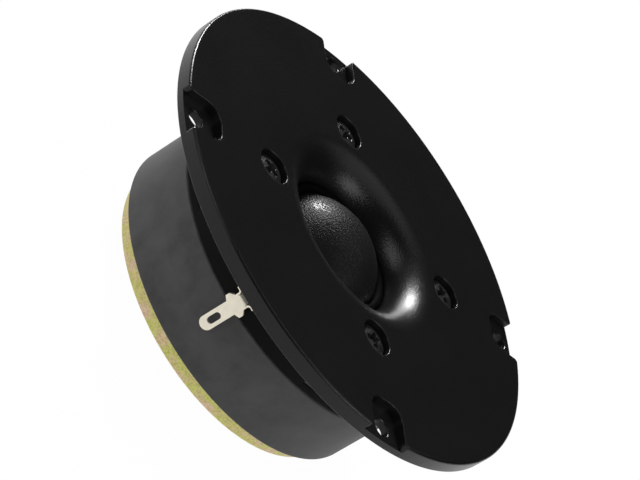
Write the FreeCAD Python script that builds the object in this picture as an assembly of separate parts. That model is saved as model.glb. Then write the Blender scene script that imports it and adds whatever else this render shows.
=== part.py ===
import FreeCAD, Part
import math
import os

# Soft-dome tweeter on a round flange, millimetres.
# The origin is the centre of the flange's rear face, where it seats on the baffle.
# +Z leaves the front of the dome; the magnet system lies below, down to the back plate.

# --- driving dimensions ---------------------------------------------------------------

# faceplate
plate_d = 104.0
plate_t = 3.5
plate_round = 0.55            # round on the rim's front edge
plate_bevel = 0.25            # bevel on its rear edge
fixing_inset = 3.4            # fixing circle inside the rim
fixing_count = 4
fixing_hole_d = 3.9
fixing_recess_w = 9.4
fixing_recess_depth = 1.85
fixing_recess_corner = 3.5
fixing_recess_flare = 1.2     # round where a recess's side meets the rim
fixing_recess_reach = 5.5     # recess's inner end inside the fixing circle
first_angle = 45.0            # fixings and screws start here, in degrees from +X
horn_depth = 7.0              # front face to the rear of the throat lip
throat_land = 0.4
mouth_margin = 0.45           # flat between the horn's mouth and a counterbore
hub_overhang = 0.5            # hub beyond the front pole plate
hub_wall = 2.2
pocket_skin = 3.0             # wall left over the moulding pockets behind the face
rib_t = 1.6

# faceplate screws
screw_pcd = 55.0
screw_count = 4
screw_d = 4.0
screw_length = 10.0
head_d = 7.2
head_h = 2.6
head_crown = 0.7              # height of the domed part of the head
head_sink = 0.55              # head top below the face
head_clearance = 0.25
drive_w = 1.3
drive_span = 4.2
drive_depth = 1.5
mouth_chamfer = 0.25          # round the counterbores and the recesses
screw_hole_clearance = 0.25
thread_clearance = 0.02
boss_wall = 1.15

# diaphragm
former_id = 25.2
former_t = 0.12
former_length = 7.0
winding_t = 0.38
winding_h = 2.6
dome_height = 6.7
cloth_t = 0.25
cuff_h = 1.2
glue_gap = 0.05
roll_w = 2.1
surround_flange_w = 4.4
gasket_t = 0.25
gasket_step = 0.6             # gasket stays this far outside the throat

# diaphragm frame
frame_t = 2.4
collar_h = 1.2
collar_lip_w = 1.1
collar_clearance = 0.3
seat_clearance = 0.1
frame_bore_step = 0.5
peg_d = 2.8
peg_h = 2.0
peg_circle_d = 46.0
peg_clearance = 0.1
shroud_angle = 66.0
shroud_gap = 0.2              # round the pole plate
shroud_step = 0.1             # inside the magnet's side
groove_w = 1.2
groove_depth = 1.0
window_w = 4.8
window_l = 3.2

# magnet system
pole_plate_d = 67.0
pole_plate_t = 4.0
magnet_ledge = 2.5            # magnet beyond the pole plate
magnet_id = 32.0
magnet_t = 16.0
magnet_chamfer = 0.5
back_plate_d = 67.0
back_plate_t = 4.0
steel_chamfer = 0.4
outer_gap = 0.3               # winding to pole plate
inner_gap = 0.25              # former to copper cap
cap_t = 0.3
cap_skirt = 4.8
spigot_d = 18.0
pad_d = 21.0
pad_t = 2.8
pad_round = 0.6

# solder tags
tag_t = 0.5
tag_stand = 2.0               # tag's inner face to the magnet's side
tag_bend = 0.8                # inner radius of the bend
tag_leg_w = 2.4
tag_leg_depth = 1.5           # leg's top below the frame's top
tag_leg_reach = 8.0
tag_fit = 0.05
tag_length = 10.5             # bend to tip
tag_tongue_w = 3.0
tag_shoulder_w = 5.1
tag_shoulder_low = 2.3        # below the bend
tag_shoulder_high = 1.35
tag_slot_w = 1.45
tag_slot_l = 3.2
tag_slot_rim = 1.9            # slot's end to the tag's tip
ear_t = 0.4
ear_rise = 0.3
ear_curl = 0.5
ear_reach = 0.55

# lead-out wires
wire_d = 0.3
wire_bend = 1.2
wire_gap = 0.05
solder_d = 2.4
solder_h = 1.3

# --- places worked out from the driving dimensions ------------------------------------

plate_r = plate_d / 2
fixing_r = plate_r - fixing_inset
screw_circle_r = screw_pcd / 2
head_r = head_d / 2
screw_r = screw_d / 2
screw_hole_r = screw_r + screw_hole_clearance
counterbore_r = head_r + head_clearance
boss_r = counterbore_r + boss_wall
head_top_z = plate_t - head_sink
head_seat_z = head_top_z - head_h
mouth_r = screw_circle_r - counterbore_r - mouth_margin

former_in_r = former_id / 2
former_r = former_in_r + former_t
winding_r = former_r + winding_t
dome_r = former_r + cloth_t
surround_in_r = dome_r + glue_gap
throat_r = surround_in_r + roll_w
surround_r = throat_r + surround_flange_w
collar_seat_r = surround_r + seat_clearance
collar_r = collar_seat_r + collar_lip_w
hub_bore_r = collar_r + collar_clearance

pole_plate_r = pole_plate_d / 2
magnet_r = pole_plate_r + magnet_ledge
back_plate_r = back_plate_d / 2
hub_r = pole_plate_r + hub_overhang
gap_r = winding_r + outer_gap
cap_r = former_in_r - inner_gap
pole_r = cap_r - cap_t

lip_z = plate_t - horn_depth
rim_z = lip_z - gasket_t - cloth_t
frame_top_z = rim_z - collar_h
frame_low_z = frame_top_z - frame_t
pole_plate_low_z = frame_low_z - pole_plate_t
magnet_low_z = pole_plate_low_z - magnet_t
back_z = magnet_low_z - back_plate_t
winding_mid_z = frame_low_z - pole_plate_t / 2
winding_top_z = winding_mid_z + winding_h / 2
cap_top_z = frame_low_z + cap_t

tag_in = magnet_r + tag_stand
tag_out = tag_in + tag_t
leg_top_z = frame_top_z - tag_leg_depth
leg_low_z = leg_top_z - tag_t
bend_z = leg_low_z - tag_bend
bend_r = tag_in - tag_bend
leg_end_r = bend_r - tag_leg_reach
groove_z = frame_top_z - groove_depth
wire_z = (frame_top_z + groove_z) / 2
wire_r = wire_d / 2

root_half = math.sqrt(0.5)
over = 1.0                    # how far a cutter runs past the face that it opens
axis_z = FreeCAD.Vector(0, 0, 1)
origin = FreeCAD.Vector(0, 0, 0)


# --- helpers --------------------------------------------------------------------------

def vec(r, z):
    """A point of a turned outline: radius r on +X, height z."""
    return FreeCAD.Vector(r, 0, z)


def edges(start, steps, place=vec):
    """Edges from start through steps; a step of two points is an arc, of one a line."""
    made = []
    here = start
    for step in steps:
        if isinstance(step[0], tuple):
            through, end = step
            made.append(Part.Arc(place(*here), place(*through), place(*end)).toShape())
        else:
            end = step
            made.append(Part.makeLine(place(*here), place(*end)))
        here = end
    return made


def outline(start, steps, place=vec):
    """A flat face bounded by a run of lines and arcs that a line closes, if it is open."""
    steps = list(steps)
    if start not in (steps[-1], steps[-1][-1]):
        steps.append(start)
    return Part.Face(Part.Wire(edges(start, steps, place)))


def turned(start, *steps):
    """A full turn of an outline about the Z axis."""
    return outline(start, steps).revolve(origin, axis_z, 360)


def ring(r_in, r_out, z_low, z_high, chamfer=0.0):
    """A flat ring, its outer edges chamfered if asked."""
    if chamfer == 0.0:
        return turned((r_in, z_low), (r_out, z_low), (r_out, z_high), (r_in, z_high))
    return turned((r_in, z_low), (r_out - chamfer, z_low), (r_out, z_low + chamfer),
                  (r_out, z_high - chamfer), (r_out - chamfer, z_high), (r_in, z_high))


def post(r, z_low, z_high, x=0.0, y=0.0):
    """An upright cylinder."""
    return Part.makeCylinder(r, z_high - z_low, FreeCAD.Vector(x, y, z_low), axis_z)


def block(x_low, x_high, y_low, y_high, z_low, z_high):
    """A box between its limits."""
    corner = FreeCAD.Vector(x_low, y_low, z_low)
    return Part.makeBox(x_high - x_low, y_high - y_low, z_high - z_low, corner)


def spun(shape, degrees):
    """A copy turned about the Z axis."""
    copy = shape.copy()
    copy.rotate(origin, axis_z, degrees)
    return copy


def pattern(shape, count, start=first_angle):
    """Copies of a shape that lies on +X, spread evenly about the Z axis."""
    return [spun(shape, start + 360.0 * i / count) for i in range(count)]


def cap_arc(r, z_base, height):
    """Middle and top points of the spherical cap's meridian over a rim of radius r."""
    sphere_r = (r * r + height * height) / (2 * height)
    centre_z = z_base + height - sphere_r
    half = math.atan2(r, z_base - centre_z) / 2
    middle = (sphere_r * math.sin(half), centre_z + sphere_r * math.cos(half))
    return middle, (0.0, z_base + height)


def export(name, shape):
    shape.exportStep("parts/" + name + ".step")


# --- faceplate ------------------------------------------------------------------------

def plate_body():
    """Flange, horn and hub as one turned profile; the horn is an arc tangent to the face."""
    width = mouth_r - throat_r
    land_z = lip_z + throat_land
    depth = plate_t - land_z
    horn_r = (width * width + depth * depth) / (2 * depth)
    half = math.atan2(width, horn_r - depth) / 2
    horn_mid = (mouth_r - horn_r * math.sin(half), plate_t - horn_r + horn_r * math.cos(half))
    turn = plate_round * (1 - root_half)
    return turned((throat_r, lip_z), (throat_r, land_z),
                  (horn_mid, (mouth_r, plate_t)),
                  (plate_r - plate_round, plate_t),
                  ((plate_r - turn, plate_t - turn), (plate_r, plate_t - plate_round)),
                  (plate_r, plate_bevel), (plate_r - plate_bevel, 0.0), (hub_r, 0.0),
                  (hub_r, frame_top_z),
                  (hub_bore_r, frame_top_z), (hub_bore_r, lip_z))


def recess_outline(z, grow):
    """Outline of a fixing recess at height z on +X, grown by a margin: its inner corners are
    rounded, and its sides turn outward in a round where they meet the rim."""
    half = fixing_recess_w / 2 + grow
    inner = fixing_r - fixing_recess_reach - grow
    corner = fixing_recess_corner
    turn = corner * (1 - root_half)
    flare = fixing_recess_flare
    bend = flare * (1 - root_half)
    wide = half + flare
    rim = math.sqrt(plate_r * plate_r - wide * wide)
    end = plate_r + over
    steps = edges((end, -wide), [
        (end, wide), (rim, wide), ((rim - bend, half + bend), (rim - flare, half)),
        (inner + corner, half),
        ((inner + turn, half - turn), (inner, half - corner)), (inner, corner - half),
        ((inner + turn, turn - half), (inner + corner, -half)),
        (rim - flare, -half), ((rim - bend, -half - bend), (rim, -wide)), (end, -wide)],
        lambda x, y: FreeCAD.Vector(x, y, z))
    return Part.Wire(steps)


def fixing_cutter():
    """Flat recess open to the rim, chamfered round its mouth, and the hole in its floor."""
    floor_z = plate_t - fixing_recess_depth
    recess = Part.Face(recess_outline(floor_z, 0.0)).extrude(axis_z * (plate_t + over - floor_z))
    mouth = Part.makeLoft([recess_outline(plate_t - mouth_chamfer, 0.0),
                           recess_outline(plate_t, mouth_chamfer)], True, True)
    hole = post(fixing_hole_d / 2, -over, floor_z + over, fixing_r)
    return recess.fuse(mouth).fuse(hole)


def screw_cutter():
    """Counterbore for the head, chamfered at its mouth, and clearance for the shank."""
    wide = turned((0.0, head_seat_z), (counterbore_r, head_seat_z),
                  (counterbore_r, plate_t - mouth_chamfer),
                  (counterbore_r + mouth_chamfer, plate_t),
                  (counterbore_r + mouth_chamfer, plate_t + over), (0.0, plate_t + over))
    wide.translate(FreeCAD.Vector(screw_circle_r, 0, 0))
    return wide.fuse(post(screw_hole_r, frame_top_z - over, head_seat_z + over, screw_circle_r))


def pocket_cutter():
    """Moulding pockets between hub wall and horn, with screw bosses and two ribs left."""
    roof_z = plate_t - pocket_skin
    cutter = ring(hub_bore_r + hub_wall, hub_r - hub_wall, frame_top_z - over, roof_z)
    for boss in pattern(post(boss_r, frame_top_z - over, roof_z, screw_circle_r), screw_count):
        cutter = cutter.cut(boss)
    rib = block(-hub_r, hub_r, -rib_t / 2, rib_t / 2, frame_top_z - over, roof_z)
    return cutter.cut(rib)


def make_faceplate():
    plate = plate_body().cut(pocket_cutter())
    for cutter in pattern(fixing_cutter(), fixing_count) + pattern(screw_cutter(), screw_count):
        plate = plate.cut(cutter)
    return plate.removeSplitter()


def make_screws():
    """Pan-head machine screws with a cross recess."""
    side_z = head_top_z - head_crown
    crown_mid, crown_top = cap_arc(head_r, side_z, head_crown)
    screw = turned((0.0, head_seat_z - screw_length),
                   (screw_r - thread_clearance, head_seat_z - screw_length),
                   (screw_r - thread_clearance, head_seat_z), (head_r, head_seat_z),
                   (head_r, side_z), (crown_mid, crown_top))
    for w, l in ((drive_w, drive_span), (drive_span, drive_w)):
        screw = screw.cut(block(-w / 2, w / 2, -l / 2, l / 2, head_top_z - drive_depth,
                                head_top_z + over))
    screw.translate(FreeCAD.Vector(screw_circle_r, 0, 0))
    return Part.makeCompound(pattern(screw, screw_count))


# --- diaphragm ------------------------------------------------------------------------

def make_dome():
    """Cloth cap with a straight cuff that is glued round the former."""
    outer_mid, outer_top = cap_arc(dome_r, rim_z, dome_height)
    inner_mid, inner_top = cap_arc(former_r, rim_z, dome_height - cloth_t)
    return turned((former_r, rim_z - cuff_h), (dome_r, rim_z - cuff_h), (dome_r, rim_z),
                  (outer_mid, outer_top), inner_top, (inner_mid, (former_r, rim_z)))


def make_surround():
    """Half-roll between the dome's cuff and the flat flange that lies on the frame."""
    outer = roll_w / 2
    inner = outer - cloth_t
    mid = surround_in_r + outer
    foot = mid + math.sqrt(outer * outer - cloth_t * cloth_t)
    return turned((surround_in_r, rim_z - cuff_h), (surround_in_r, rim_z),
                  ((mid, rim_z + outer), (foot, rim_z + cloth_t)),
                  (surround_r, rim_z + cloth_t), (surround_r, rim_z), (mid + inner, rim_z),
                  ((mid, rim_z + inner), (mid - inner, rim_z)),
                  (mid - inner, rim_z - cuff_h))


def make_gasket():
    return ring(throat_r + gasket_step, surround_r, rim_z + cloth_t, lip_z)


def make_former():
    return ring(former_in_r, former_r, rim_z - former_length, rim_z)


def make_winding():
    return ring(former_r, winding_r, winding_top_z - winding_h, winding_top_z)


def make_frame():
    """Moulded ring: seat and lip for the surround, two shrouds for the tags, two pegs below."""
    bore_r = throat_r + frame_bore_step
    lip_top_z = lip_z - seat_clearance
    frame = turned((bore_r, frame_low_z), (hub_r, frame_low_z), (hub_r, frame_top_z),
                   (collar_r, frame_top_z), (collar_r, lip_top_z), (collar_seat_r, lip_top_z),
                   (collar_seat_r, rim_z), (bore_r, rim_z))
    peg = post(peg_d / 2, frame_low_z - peg_h, frame_low_z + over, peg_circle_d / 2)
    for turn in (0, 180):
        frame = frame.fuse(spun(shroud(), turn))
        frame = frame.fuse(spun(peg, turn))
    for turn in (0, 180):
        frame = frame.cut(spun(tag_cutter(), turn))
    for hole in pattern(post(screw_hole_r, frame_low_z - over, frame_top_z + over,
                             screw_circle_r), screw_count):
        frame = frame.cut(hole)
    return frame.removeSplitter()


def shroud():
    """Curved wall round the pole plate's edge, down to the magnet, on the -Y side."""
    r_in = pole_plate_r + shroud_gap
    r_out = magnet_r - shroud_step
    low_z = pole_plate_low_z + seat_clearance
    face = outline((r_in, low_z), [(r_out, low_z), (r_out, frame_top_z), (r_in, frame_top_z)])
    wall = face.revolve(origin, axis_z, shroud_angle)
    return spun(wall, -90 - shroud_angle / 2)


def tag_cutter():
    """Tunnel for the tag's leg, window over its end and groove for the lead, on the -Y side."""
    half = tag_leg_w / 2 + tag_fit
    cutter = block(-half, half, -bend_r - over, -leg_end_r, leg_low_z - tag_fit,
                   leg_top_z + tag_fit)
    window_in = leg_end_r - tag_fit
    cutter = cutter.fuse(block(-window_w / 2, window_w / 2, -window_in - window_l, -window_in,
                               leg_low_z - tag_fit, frame_top_z + over))
    return cutter.fuse(block(-groove_w / 2, groove_w / 2, -window_in - over, -throat_r,
                             groove_z, frame_top_z))


# --- magnet system --------------------------------------------------------------------

def make_pole_plate():
    plate = ring(gap_r, pole_plate_r, pole_plate_low_z, frame_low_z, steel_chamfer)
    for hole in pattern(post(screw_r, pole_plate_low_z - over, frame_low_z + over,
                             screw_circle_r), screw_count):
        plate = plate.cut(hole)
    peg_hole = post(peg_d / 2 + peg_clearance, frame_low_z - peg_h - 2 * peg_clearance,
                    frame_low_z + over, peg_circle_d / 2)
    for hole in pattern(peg_hole, 2, 0.0):
        plate = plate.cut(hole)
    return plate


def make_magnet():
    return ring(magnet_id / 2, magnet_r, magnet_low_z, pole_plate_low_z, magnet_chamfer)


def make_back_plate():
    return ring(spigot_d / 2, back_plate_r, back_z, magnet_low_z, steel_chamfer)


def make_pole_piece():
    """Core with a spigot pressed through the back plate."""
    return turned((0.0, back_z), (spigot_d / 2, back_z), (spigot_d / 2, magnet_low_z),
                  (pole_r, magnet_low_z), (pole_r, frame_low_z), (0.0, frame_low_z))


def make_copper_cap():
    """Thin cup over the end of the core."""
    return turned((0.0, frame_low_z), (pole_r, frame_low_z), (pole_r, cap_top_z - cap_skirt),
                  (cap_r, cap_top_z - cap_skirt), (cap_r, cap_top_z), (0.0, cap_top_z))


def make_damping_pad():
    """Felt disc with a rounded upper edge, glued on the capped core."""
    pad_r = pad_d / 2
    top_z = cap_top_z + pad_t
    turn = pad_round * (1 - root_half)
    return turned((0.0, cap_top_z), (pad_r, cap_top_z), (pad_r, top_z - pad_round),
                  ((pad_r - turn, top_z - turn), (pad_r - pad_round, top_z)), (0.0, top_z))


# --- tags, leads and solder, each on the -Y side --------------------------------------

def tag_plane(x, z):
    """A point on the tag's outer face."""
    return FreeCAD.Vector(x, -tag_out, z)


def tag_blade():
    """Right half of the flat blade: tongue with a round tip, shoulder and neck."""
    tongue = tag_tongue_w / 2
    wing = tag_shoulder_w / 2
    neck = tag_leg_w / 2 + tag_fit + ear_t
    tip_z = bend_z - tag_length
    low_z = bend_z - tag_shoulder_low
    high_z = bend_z - tag_shoulder_high
    neck_z = bend_z - tag_t
    slope = (wing - tongue) / 2
    hollow = ((neck + wing) / 2 - tag_t / 4, (neck_z + high_z) / 2 + tag_t / 4)
    return outline((0.0, tip_z), [
        ((tongue * root_half, tip_z + tongue * (1 - root_half)), (tongue, tip_z + tongue)),
        (tongue, low_z - slope), (wing, low_z), (wing, high_z),
        (hollow, (neck, neck_z)), (neck, bend_z), (0.0, bend_z)], tag_plane)


def tag_ear():
    """Narrow ear that rises beside the bend and curls outward."""
    x_in = tag_leg_w / 2 + tag_fit
    x_out = x_in + ear_t
    low_z = bend_z - tag_t
    top_z = bend_z + ear_rise
    curl_x = x_out + ear_curl
    wide = ear_curl + ear_t
    return outline((x_in, low_z), [
        (x_in, top_z),
        ((curl_x - wide * root_half, top_z + wide * root_half), (curl_x, top_z + wide)),
        (curl_x + ear_reach, top_z + wide), (curl_x + ear_reach, top_z + ear_curl),
        (curl_x, top_z + ear_curl),
        ((curl_x - ear_curl * root_half, top_z + ear_curl * root_half), (x_out, top_z)),
        (x_out, low_z)], tag_plane)


def tag_leg():
    """Bend and leg that runs inward through the frame, as a profile across the axis."""
    outer = tag_bend + tag_t
    return outline((tag_in, bend_z), [
        (tag_out, bend_z),
        ((bend_r + outer * root_half, bend_z + outer * root_half), (bend_r, leg_top_z)),
        (leg_end_r, leg_top_z), (leg_end_r, leg_low_z), (bend_r, leg_low_z),
        ((bend_r + tag_bend * root_half, bend_z + tag_bend * root_half), (tag_in, bend_z))],
        radial_plane)


def radial_plane(r, z):
    """A point of the plane through the axis towards -Y."""
    return FreeCAD.Vector(0, -r, z)


def tag_slot():
    """Cutter for the long hole in the tongue."""
    half = tag_slot_w / 2
    low_z = bend_z - tag_length + tag_slot_rim + half
    high_z = low_z + tag_slot_l - 2 * half
    through = FreeCAD.Vector(0, -tag_out - over, 0)
    slot = block(-half, half, -tag_out - over, -tag_in + over, low_z, high_z)
    for z in (low_z, high_z):
        end = Part.makeCylinder(half, tag_t + 2 * over, through + axis_z * z,
                                FreeCAD.Vector(0, 1, 0))
        slot = slot.fuse(end)
    return slot


def make_tag():
    """Solder tag bent from one strip: slotted blade, two curled ears and the leg."""
    half_tag = tag_blade().extrude(FreeCAD.Vector(0, tag_t, 0))
    half_tag = half_tag.fuse(tag_ear().extrude(FreeCAD.Vector(0, tag_t, 0)))
    half_tag = half_tag.fuse(tag_leg().extrude(FreeCAD.Vector(tag_leg_w / 2, 0, 0)))
    whole = half_tag.fuse(half_tag.mirror(origin, FreeCAD.Vector(1, 0, 0)))
    return whole.cut(tag_slot()).removeSplitter()


def make_lead():
    """Lead-out: up beside the former, then outward through the frame's groove."""
    start_r = former_r + wire_gap + wire_r
    turn_r = start_r + wire_bend
    low_z = winding_top_z + wire_gap
    turn_z = wire_z - wire_bend
    path = Part.Wire(edges((start_r, low_z), [
        (start_r, turn_z),
        ((turn_r - wire_bend * root_half, turn_z + wire_bend * root_half), (turn_r, wire_z)),
        (leg_end_r + solder_d / 2, wire_z)], radial_plane))
    section = Part.Wire([Part.makeCircle(wire_r, radial_plane(start_r, low_z), axis_z)])
    return path.makePipeShell([section], True, False)


def make_solder(lead):
    """Rounded drop of solder on the leg's end, with the lead's end buried in it."""
    half = solder_d / 2
    mid, top = cap_arc(half, leg_top_z, solder_h)
    drop = turned((0.0, leg_top_z), (half, leg_top_z), (mid, top))
    drop.translate(FreeCAD.Vector(0, -leg_end_r - half, 0))
    return drop.cut(lead)


# --- write every piece ----------------------------------------------------------------

def main():
    os.makedirs("parts", exist_ok=True)
    export("faceplate", make_faceplate())
    export("faceplate_screws", make_screws())
    export("dome", make_dome())
    export("surround", make_surround())
    export("surround_gasket", make_gasket())
    export("coil_former", make_former())
    export("coil_winding", make_winding())
    export("diaphragm_frame", make_frame())
    export("front_pole_plate", make_pole_plate())
    export("ferrite_magnet", make_magnet())
    export("back_plate", make_back_plate())
    export("pole_piece", make_pole_piece())
    export("copper_cap", make_copper_cap())
    export("damping_pad", make_damping_pad())
    tag = make_tag()
    lead = make_lead()
    solder = make_solder(lead)
    for sign, turn in (("minus", 0), ("plus", 180)):
        export("solder_tag_" + sign, spun(tag, turn))
        export("lead_wire_" + sign, spun(lead, turn))
        export("solder_joint_" + sign, spun(solder, turn))


main()
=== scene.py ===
import math

import bmesh
import bpy
import numpy as np
from bpy.props import FloatProperty, FloatVectorProperty, IntProperty, PointerProperty
from mathutils import Matrix, Vector


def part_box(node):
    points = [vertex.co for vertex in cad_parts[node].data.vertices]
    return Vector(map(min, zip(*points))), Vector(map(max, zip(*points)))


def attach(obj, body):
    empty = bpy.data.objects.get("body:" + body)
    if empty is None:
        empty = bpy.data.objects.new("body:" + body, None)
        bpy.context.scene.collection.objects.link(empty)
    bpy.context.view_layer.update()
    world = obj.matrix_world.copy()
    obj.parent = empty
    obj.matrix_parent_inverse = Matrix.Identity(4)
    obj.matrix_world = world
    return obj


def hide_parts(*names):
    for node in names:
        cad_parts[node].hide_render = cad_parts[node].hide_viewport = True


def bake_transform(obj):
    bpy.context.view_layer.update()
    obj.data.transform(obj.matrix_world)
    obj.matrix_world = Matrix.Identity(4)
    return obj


bl_info = {
    "name": "Soft Dome Tweeter",
    "version": (1, 0, 0),
    "blender": (4, 5, 0),
    "location": "View3D > Sidebar > Tweeter",
    "description": "Dresses the frame of a flange-mounted soft-dome tweeter",
    "category": "Add Mesh",
}

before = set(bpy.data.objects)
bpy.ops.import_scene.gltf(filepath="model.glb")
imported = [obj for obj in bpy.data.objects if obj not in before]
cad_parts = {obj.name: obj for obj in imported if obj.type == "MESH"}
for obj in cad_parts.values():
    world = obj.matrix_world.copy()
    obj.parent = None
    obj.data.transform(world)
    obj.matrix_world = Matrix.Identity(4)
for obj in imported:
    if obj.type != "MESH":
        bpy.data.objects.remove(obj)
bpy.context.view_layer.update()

MM = 0.001
MOTOR = "faceplate_and_motor"
MOVING = "dome_and_coil"
QUARTER = math.pi / 2
EIGHTH = math.pi / 4


def reach(node):
    """Largest distance of a turned node from the axis, in metres."""
    return float(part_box(node)[1][0])


def top(node):
    """Height of a node's highest point, in metres."""
    return float(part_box(node)[1][2])


def foot(node):
    """Height of a node's lowest point, in metres."""
    return float(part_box(node)[0][2])


def number(name, description, default, **more):
    """A plain number, with its limits and its unit where it has them."""
    return FloatProperty(name=name, description=description, default=default, **more)


def length(name, description, default):
    """A size in metres that the sidebar shows as a length."""
    return height(name, description, default, min=0.0)


def height(name, description, default, **more):
    """A place along the axis in metres, which may lie below the flange."""
    return number(name, description, default, precision=5, unit="LENGTH",
                  subtype="DISTANCE", **more)


def angle(name, description, degrees):
    """An angle, written here in degrees."""
    return number(name, description, math.radians(degrees), subtype="ANGLE")


def power(name, description, default):
    """Power of a lamp in watts."""
    return number(name, description, default, min=0.0, unit="POWER")


def colour(name, description, default):
    """A linear base colour."""
    return FloatVectorProperty(name=name, description=description, default=default,
                               size=3, min=0.0, max=1.0, subtype="COLOR")


# --- settings -------------------------------------------------------------------------

class TweeterFaceplateSettings(bpy.types.PropertyGroup):
    """Sizes of the flange, its waveguide and its recesses."""

    radius: length("Flange radius", "Outer radius of the flange", reach("faceplate"))
    face: height("Face", "Height of the front face", top("faceplate"))
    hub_foot: height("Hub foot", "Height of the hub's lower edge", foot("faceplate"))
    edge: length("Edge round", "Rounding of the flange's front edge", 0.55 * MM)
    rear_edge: length("Rear edge", "Rounding of the flange's rear edge", 0.25 * MM)
    throat: length("Throat radius", "Inner radius of the waveguide", 15.12 * MM)
    mouth: length("Mouth radius", "Radius where the waveguide meets the face", 23.2 * MM)
    lip: height("Lip", "Height of the waveguide's lower lip", -3.5 * MM)
    land: length("Throat land", "Straight part below the waveguide's arc", 0.4 * MM)
    hub: length("Hub radius", "Outer radius of the hub behind the flange", 34.0 * MM)
    bore: length("Hub bore", "Radius of the room for the diaphragm frame", 21.02 * MM)
    fixing_circle: length("Fixing circle", "Radius of the fixing holes' circle", 48.6 * MM)
    fixing_hole: length("Fixing hole", "Radius of a fixing hole", 1.95 * MM)
    recess_half: length("Recess half width", "Half the width of a fixing recess", 4.7 * MM)
    recess_end: length("Recess end", "Radius where a recess's inner end lies", 43.1 * MM)
    recess_corner: length("Recess corner", "Rounding of a recess's inner corners", 3.5 * MM)
    recess_flare: length("Recess flare", "Round where a recess's side meets the rim", 1.2 * MM)
    recess_floor: height("Recess floor", "Height of a recess's floor", 1.65 * MM)
    screw_circle: length("Screw circle", "Radius of the faceplate screws' circle", 27.5 * MM)
    bore_wide: length("Counterbore", "Radius of a screw's counterbore", 3.85 * MM)
    bore_narrow: length("Shank hole", "Radius of a screw's clearance hole", 2.25 * MM)
    seat: height("Screw seat", "Height of a counterbore's floor", 0.35 * MM)
    cut_round: length("Cut round", "Rounding where a recess meets the face", 0.22 * MM)
    pocket_in: length("Pocket inside", "Inner radius of the moulding pockets", 23.22 * MM)
    pocket_out: length("Pocket outside", "Outer radius of the moulding pockets", 31.8 * MM)
    pocket_roof: height("Pocket roof", "Height of the pockets' roof", 0.5 * MM)
    boss: length("Boss radius", "Radius of a screw boss", 5.0 * MM)
    rib: length("Rib", "Thickness of the two ribs", 1.6 * MM)
    turns: IntProperty(name="Turns", description="Steps round the flange",
                       default=384, min=48, max=720)


class TweeterScrewSettings(bpy.types.PropertyGroup):
    """Sizes of the four faceplate screws."""

    head: length("Head radius", "Radius of the pan head", 3.6 * MM)
    head_top: height("Head top", "Height of the head's crown", top("faceplate_screws"))
    crown: length("Crown", "Height of the head's domed part", 0.7 * MM)
    shank: length("Shank radius", "Radius over the thread's crests", 1.98 * MM)
    tip: height("Tip", "Height of the screw's end", foot("faceplate_screws"))
    pitch: length("Pitch", "Distance between two turns of the thread", 0.7 * MM)
    thread: length("Thread depth", "Depth of the thread", 0.28 * MM)
    drive_width: length("Slot width", "Width of one slot of the cross", 1.3 * MM)
    drive_span: length("Slot span", "Length of one slot of the cross", 4.2 * MM)
    drive_depth: length("Slot depth", "Depth of the cross", 1.5 * MM)


class TweeterDiaphragmSettings(bpy.types.PropertyGroup):
    """Sizes of the cloth dome and its surround."""

    radius: length("Dome radius", "Outer radius of the dome's rim", reach("dome"))
    apex: height("Apex", "Height of the dome's middle", top("dome"))
    rim: height("Rim", "Height of the dome's rim", -4.0 * MM)
    cloth: length("Cloth", "Thickness of the coated cloth", 0.25 * MM)
    cuff: length("Cuff", "Height of the cuff round the voice coil", 1.2 * MM)
    gap: length("Glue gap", "Between the dome's cuff and the surround's", 0.05 * MM)
    roll: length("Roll width", "Width of the surround's half roll", 2.1 * MM)
    surround: length("Surround radius", "Outer radius of the surround", reach("surround"))
    thread_pitch: length("Thread pitch", "Distance between two threads of the cloth", 0.26 * MM)


class TweeterMotorSettings(bpy.types.PropertyGroup):
    """Sizes of the magnet, the back plate and the core."""

    magnet: length("Magnet radius", "Outer radius of the ferrite ring", reach("ferrite_magnet"))
    magnet_bore: length("Magnet bore", "Inner radius of the ferrite ring", 16.0 * MM)
    magnet_top: height("Magnet top", "Height of the ring's upper face", top("ferrite_magnet"))
    magnet_foot: height("Magnet foot", "Height of the ring's lower face", foot("ferrite_magnet"))
    magnet_edge: length("Magnet edge", "Width of the ring's ground edges", 0.5 * MM)
    plate: length("Plate radius", "Outer radius of the back plate", reach("back_plate"))
    plate_foot: height("Plate foot", "Height of the back plate's rear face", foot("back_plate"))
    plate_edge: length("Plate edge", "Rounding of the steel plates' edges", 0.4 * MM)
    spigot: length("Spigot radius", "Radius of the core's pressed end", 9.0 * MM)
    core: length("Core radius", "Radius of the core in the magnet", reach("pole_piece"))
    core_top: height("Core top", "Height of the core's front end", top("pole_piece"))


class TweeterFinishSettings(bpy.types.PropertyGroup):
    """Base colours of the finishes."""

    moulding: colour("Moulding", "Black moulded faceplate", (0.0043, 0.0043, 0.0044))
    frame_black: colour("Frame", "Black moulded diaphragm frame", (0.0025, 0.0025, 0.0025))
    screw: colour("Screw", "Black passivated steel", (0.0055, 0.0055, 0.006))
    cloth: colour("Cloth", "Black coated cloth", (0.0058, 0.0058, 0.0060))
    surround: colour("Surround", "Coating of the surround", (0.0018, 0.0018, 0.0018))
    ferrite: colour("Ferrite", "Fired ferrite", (0.031, 0.031, 0.031))
    dark_steel: colour("Dark steel", "Dull grey zinc of the front plate", (0.30, 0.30, 0.29))
    zinc: colour("Zinc", "Yellow passivated steel", (0.62, 0.54, 0.24))
    steel: colour("Steel", "Bare turned steel", (0.50, 0.49, 0.47))
    tin: colour("Tin", "Tinned brass of the tags", (0.76, 0.71, 0.59))
    copper: colour("Copper", "Copper of the coil, the leads and the cap", (0.78, 0.36, 0.20))
    felt: colour("Felt", "Felt of the damping pad", (0.020, 0.020, 0.021))
    foil: colour("Foil", "Aluminium of the coil former", (0.78, 0.78, 0.79))
    solder: colour("Solder", "Solder on the tags", (0.55, 0.55, 0.54))


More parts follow.
